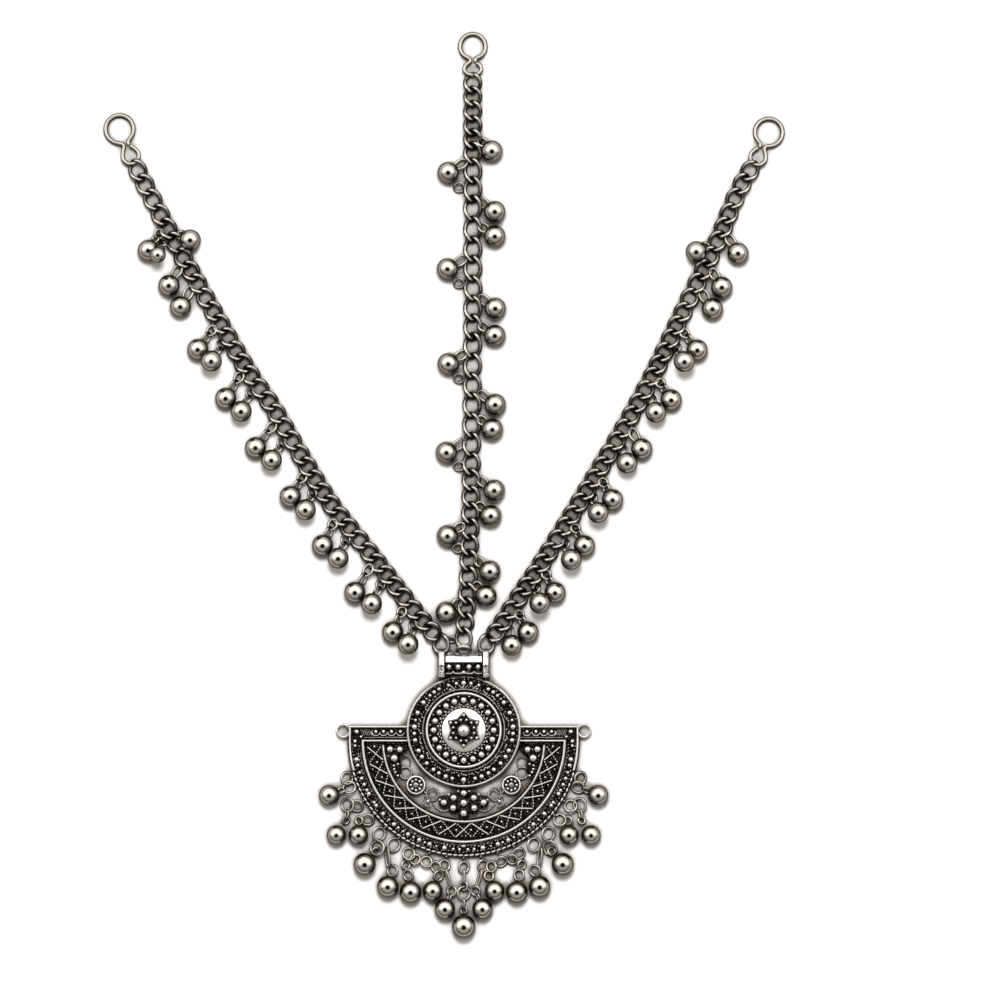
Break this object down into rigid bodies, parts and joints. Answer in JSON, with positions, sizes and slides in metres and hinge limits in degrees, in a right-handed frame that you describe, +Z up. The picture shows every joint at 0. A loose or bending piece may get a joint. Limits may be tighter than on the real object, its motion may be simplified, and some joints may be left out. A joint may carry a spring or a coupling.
{
  "type": "matha patti head jewel",
  "caption": "Head jewel of oxidised metal: curb chains with ball drops run from wire hook eyes to a half-moon pendant with a round medallion and a fringe of balls.",
  "frame": {"origin": "on the table under the middle of the round medallion, in the pendant's flat back", "axes": "+Z up out of the pendant's face, +Y along the centre chain towards its hook, +X to the right seen from above"},
  "size_m": [0.1882, 0.2501, 0.0089],
  "materials": {
    "oxidised_silver": "silver-coloured metal, blackened in its recesses and rubbed bright on its high spots",
    "chain_silver": "antique silver-coloured wire, bright outside and dark between the links",
    "polished_silver": "polished silver-coloured metal"
  },
  "bodies": {
    "root": {"pendant": "oxidised_silver", "chain_left": "chain_silver", "chain_centre": "chain_silver", "chain_right": "chain_silver", "hook_left": "chain_silver", "hook_centre": "chain_silver", "hook_right": "chain_silver", "drop_01": "polished_silver", "drop_02": "polished_silver", "drop_03": "polished_silver", "drop_04": "polished_silver", "drop_05": "polished_silver", "drop_06": "polished_silver", "drop_07": "polished_silver", "drop_08": "polished_silver", "drop_09": "polished_silver", "drop_10": "polished_silver", "drop_11": "polished_silver", "drop_12": "polished_silver", "drop_13": "polished_silver", "drop_14": "polished_silver", "drop_15": "polished_silver", "drop_16": "polished_silver", "drop_17": "polished_silver"}
  },
  "joints": []
}
